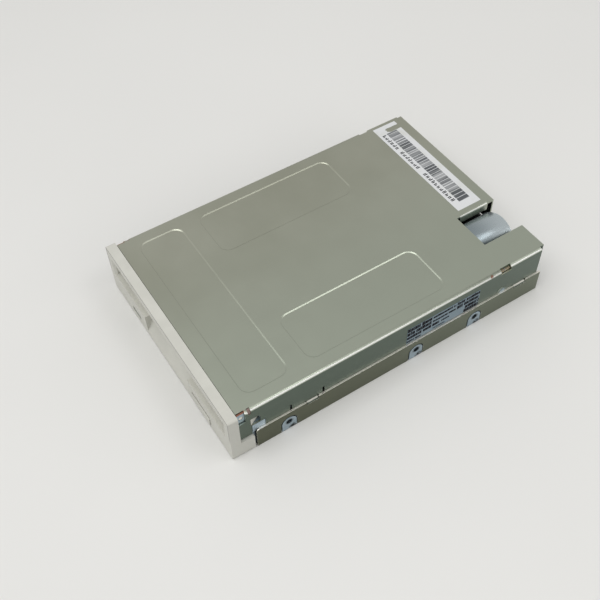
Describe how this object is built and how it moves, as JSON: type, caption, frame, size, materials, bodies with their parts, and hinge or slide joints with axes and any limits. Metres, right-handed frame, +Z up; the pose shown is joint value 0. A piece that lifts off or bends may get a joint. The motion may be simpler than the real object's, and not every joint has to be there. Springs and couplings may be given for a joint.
{
  "type": "floppy disk drive",
  "caption": "Slim floppy disk drive with a plastic bezel, folded zinc covers, side screw holes, a push-out eject button, a sprung door, a drop-in disk carrier and a screw-driven head.",
  "frame": {"origin": "middle of the drive's outline, on the plane it stands on", "axes": "+X right when facing the bezel, +Y from the bezel to the rear, +Z up"},
  "size_m": [0.1016, 0.1504, 0.0254],
  "materials": {
    "cover_sheet": "satin, zinc plated",
    "tray_sheet": "satin, zinc plated",
    "frame_casting": "satin casting",
    "bezel_plastic": "fine texture",
    "lens_plastic": "tinted, clear",
    "board_laminate": "solder resist",
    "black_plastic": "moulded",
    "white_plastic": "moulded",
    "bright_steel": "ground",
    "zinc_sheet": "zinc plated",
    "screw_steel": "zinc plated",
    "spring_steel": "drawn wire",
    "bearing_bronze": "sintered",
    "lamination_steel": "stamped",
    "copper_wire": "enamelled",
    "magnet_ferrite": "matte",
    "contact_metal": "plated",
    "can_steel": "bright plated",
    "flex_film": "polyimide",
    "head_ceramic": "polished ceramic"
  },
  "bodies": {
    "chassis": {"main_frame": "frame_casting", "bottom_shield": "tray_sheet", "top_cover": "cover_sheet", "bezel": "bezel_plastic", "indicator_lens": "lens_plastic", "front_switch_board": "board_laminate", "indicator_led": "lens_plastic", "switch_bodies": "black_plastic", "spindle_bearing": "bearing_bronze", "bearing_screws": "screw_steel", "motor_board": "board_laminate", "motor_board_screws": "screw_steel", "stator_core": "lamination_steel", "stator_coils": "copper_wire", "main_board": "board_laminate", "board_screws": "screw_steel", "board_chips": "black_plastic", "data_header": "black_plastic", "data_pins": "contact_metal", "power_connector": "white_plastic", "power_pins": "contact_metal", "stepper_can": "can_steel", "stepper_bracket": "frame_casting", "stepper_screws": "screw_steel", "lead_screw_pivot": "bearing_bronze", "guide_rod": "bright_steel", "rod_clamps": "frame_casting", "rod_clamp_screws": "screw_steel", "track_sensor": "black_plastic", "head_flex_cable": "flex_film", "slide_springs": "spring_steel", "flap_spring": "spring_steel"},
    "spindle": {"rotor_cup": "zinc_sheet", "rotor_magnet": "magnet_ferrite", "spindle_shaft": "bright_steel", "hub_table": "bright_steel", "hub_magnet": "magnet_ferrite", "drive_pin": "bright_steel"},
    "slide": {"slide_plate": "zinc_sheet", "eject_button": "bezel_plastic"},
    "carrier": {"disk_carrier": "zinc_sheet", "carrier_pins": "bright_steel", "lever_pivot": "bright_steel", "lever_spring": "spring_steel"},
    "lever": {"shutter_lever": "zinc_sheet"},
    "flap": {"door_flap": "bezel_plastic"},
    "carriage": {"head_carriage": "black_plastic", "lower_head": "head_ceramic", "screw_follower": "zinc_sheet", "arm_pivot": "bright_steel", "arm_spring": "spring_steel"},
    "arm": {"head_arm": "black_plastic", "upper_head": "head_ceramic"},
    "screw": {"lead_screw": "bright_steel"},
    "write_protect_switch": {"write_protect_plunger": "white_plastic"},
    "density_switch": {"density_plunger": "white_plastic"},
    "disk_in_switch": {"disk_in_plunger": "white_plastic"}
  },
  "joints": [
    {"name": "eject_slide", "type": "slide", "parent": "chassis", "child": "slide", "axis": [0, -1, 0], "range_m": [0, 0.0045], "deforming": ["slide_springs"]},
    {"name": "carrier_drop", "type": "slide", "parent": "chassis", "child": "carrier", "axis": [0, 0, -1], "range_m": [0, 0.003]},
    {"name": "shutter_swing", "type": "hinge", "parent": "carrier", "child": "lever", "pos_m": [0.04, 0.0172, 0.0186], "axis": [0, 0, -1], "range_deg": [0, 66], "stiffness_Nm_per_rad": 0.001, "springref_deg": -11.46, "deforming": ["lever_spring"]},
    {"name": "door_swing", "type": "hinge", "parent": "chassis", "child": "flap", "pos_m": [0, -0.0688, 0.0222], "axis": [1, 0, 0], "range_deg": [0, 85], "stiffness_Nm_per_rad": 0.0006, "springref_deg": -22.92, "deforming": ["flap_spring"]},
    {"name": "spindle_spin", "type": "hinge", "parent": "chassis", "child": "spindle", "pos_m": [0, -0.0228, 0.006], "axis": [0, 0, 1], "continuous": true},
    {"name": "carriage_seek", "type": "slide", "parent": "chassis", "child": "carriage", "axis": [0, -1, 0], "range_m": [0, 0.01481], "deforming": ["head_flex_cable"]},
    {"name": "lead_screw_turn", "type": "hinge", "parent": "chassis", "child": "screw", "pos_m": [0.0263, 0.0352, 0.0146], "axis": [0, 1, 0], "range_deg": [0, 1422.1]},
    {"name": "head_lower", "type": "hinge", "parent": "carriage", "child": "arm", "pos_m": [0, 0.04581, 0.0156], "axis": [1, 0, 0], "range_deg": [0, 11.5], "deforming": ["arm_spring"]},
    {"name": "write_protect_press", "type": "slide", "parent": "chassis", "child": "write_protect_switch", "axis": [0, 0, -1], "range_m": [0, 0.0012], "stiffness_N_per_m": 200, "springref_m": -0.0004},
    {"name": "density_press", "type": "slide", "parent": "chassis", "child": "density_switch", "axis": [0, 0, -1], "range_m": [0, 0.0012], "stiffness_N_per_m": 200, "springref_m": -0.0004},
    {"name": "disk_in_press", "type": "slide", "parent": "chassis", "child": "disk_in_switch", "axis": [0, 0, -1], "range_m": [0, 0.0012], "stiffness_N_per_m": 200, "springref_m": -0.0004}
  ],
  "couplings": [
    {"joint": "carrier_drop", "follows": "eject_slide", "ratio": 0.66666},
    {"joint": "head_lower", "follows": "eject_slide", "rad_per_m": 44.6},
    {"joint": "lead_screw_turn", "follows": "carriage_seek", "rad_per_m": 1675.5}
  ]
}
